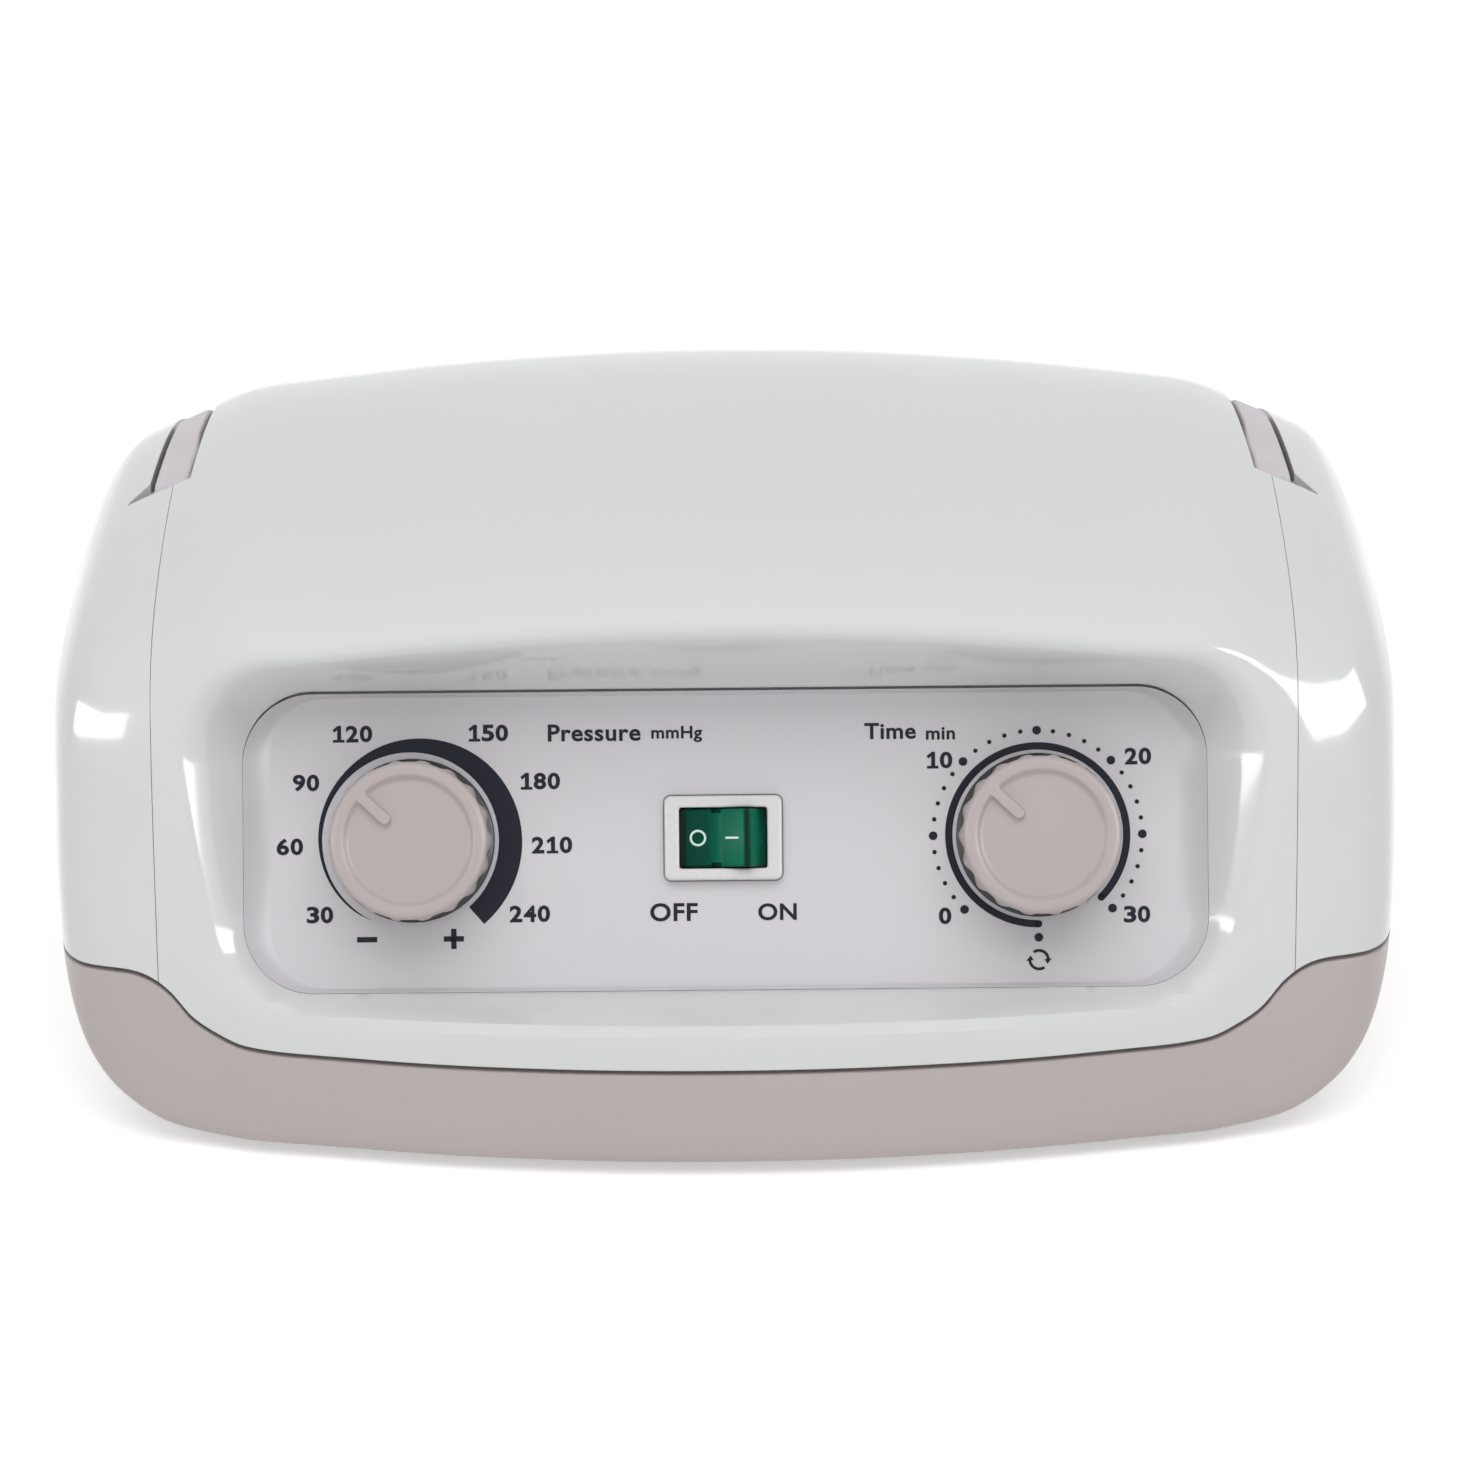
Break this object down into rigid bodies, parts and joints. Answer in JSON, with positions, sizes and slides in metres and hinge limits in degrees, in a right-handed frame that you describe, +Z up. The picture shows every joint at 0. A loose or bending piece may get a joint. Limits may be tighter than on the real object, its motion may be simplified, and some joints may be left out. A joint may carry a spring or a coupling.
{
  "type": "compression therapy pump",
  "caption": "Desk-top air pump for compression garments: domed white case on a grey base, tilted panel with two dials and a green rocker switch, folded bail handle.",
  "frame": {"origin": "middle of the standing surface under the feet", "axes": "+X to the right of someone facing the panel, +Y to the rear, +Z up; the panel faces -Y"},
  "size_m": [0.2426, 0.19, 0.116],
  "materials": {
    "white_gloss": "smooth glossy warm white",
    "base_grey": "satin warm grey",
    "panel_lavender": "satin pale lavender grey",
    "knob_beige": "satin warm beige grey",
    "handle_grey": "satin warm light grey",
    "black_plastic": "satin black",
    "rocker_green": "clear emerald green, glossy",
    "light_plastic": "satin off-white",
    "rear_plate_grey": "fine matt texture",
    "foot_rubber": "matt dark grey",
    "hose_rubber": "soft translucent grey",
    "steel": "zinc plated",
    "laminated_iron": "dull laminated iron",
    "copper": "lacquered copper winding",
    "board_green": "solder resist green",
    "brass_yellow": "turned brass",
    "transformer_tape": "yellow winding tape"
  },
  "bodies": {
    "housing": {"centre_cover": "white_gloss", "left_side_cover": "white_gloss", "right_side_cover": "white_gloss", "base_tub": "base_grey", "control_panel": "panel_lavender", "mains_inlet": "black_plastic", "fuse_holder": "black_plastic", "capacitor_1": "black_plastic", "capacitor_2": "black_plastic", "switch_frame": "light_plastic", "air_outlet_1": "light_plastic", "air_outlet_2": "light_plastic", "air_outlet_3": "light_plastic", "air_outlet_4": "light_plastic", "pump_head_left": "light_plastic", "pump_head_right": "light_plastic", "distributor_body": "light_plastic", "distributor_lid": "light_plastic", "timer_body": "light_plastic", "rear_panel": "rear_plate_grey", "foot_front_left": "foot_rubber", "foot_rear_left": "foot_rubber", "foot_front_right": "foot_rubber", "foot_rear_right": "foot_rubber", "pump_mount_front_left": "foot_rubber", "pump_mount_rear_left": "foot_rubber", "pump_mount_front_right": "foot_rubber", "pump_mount_rear_right": "foot_rubber", "diaphragm_left": "foot_rubber", "diaphragm_right": "foot_rubber", "outlet_hose_1": "hose_rubber", "outlet_hose_2": "hose_rubber", "outlet_hose_3": "hose_rubber", "outlet_hose_4": "hose_rubber", "supply_hose": "hose_rubber", "pressure_hose": "hose_rubber", "case_screw_front_left": "steel", "case_screw_rear_left": "steel", "case_screw_front_right": "steel", "case_screw_rear_right": "steel", "handle_pin_left": "steel", "handle_pin_right": "steel", "pump_plate": "steel", "pump_stator": "laminated_iron", "distributor_motor": "laminated_iron", "pump_coil": "copper", "circuit_board": "board_green", "pressure_valve": "brass_yellow", "transformer": "transformer_tape"},
    "handle": {"carry_handle": "handle_grey"},
    "pressure_dial": {"pressure_knob": "knob_beige", "pressure_knob_skirt": "black_plastic", "pressure_shaft": "steel"},
    "timer_dial": {"timer_knob": "knob_beige", "timer_knob_skirt": "black_plastic", "timer_shaft": "steel"},
    "rocker": {"switch_rocker": "rocker_green"},
    "armature": {"magnet_slide": "steel"},
    "rotor": {"distributor_rotor": "black_plastic"}
  },
  "joints": [
    {"name": "handle_lift", "type": "hinge", "parent": "housing", "child": "handle", "pos_m": [0, -0.0088, 0.0974], "axis": [1, 0, 0], "range_deg": [0, 90]},
    {"name": "pressure_turn", "type": "hinge", "parent": "housing", "child": "pressure_dial", "pos_m": [-0.0558, -0.06904, 0.05497], "axis": [0, -0.9135, 0.4067], "range_deg": [-186, 105.5]},
    {"name": "timer_turn", "type": "hinge", "parent": "housing", "child": "timer_dial", "pos_m": [0.0558, -0.06904, 0.05497], "axis": [0, -0.9135, 0.4067], "range_deg": [-182, 133]},
    {"name": "rocker_tip", "type": "hinge", "parent": "housing", "child": "rocker", "pos_m": [-0.0004, -0.06228, 0.05196], "axis": [0, 0.4067, 0.9135], "range_deg": [0, 28]},
    {"name": "armature_slide", "type": "slide", "parent": "housing", "child": "armature", "axis": [1, 0, 0], "range_m": [-0.0015, 0.0015], "stiffness_N_per_m": 800},
    {"name": "rotor_turn", "type": "hinge", "parent": "housing", "child": "rotor", "pos_m": [0.047, 0.036, 0.0395], "axis": [0, 0, 1], "continuous": true}
  ]
}
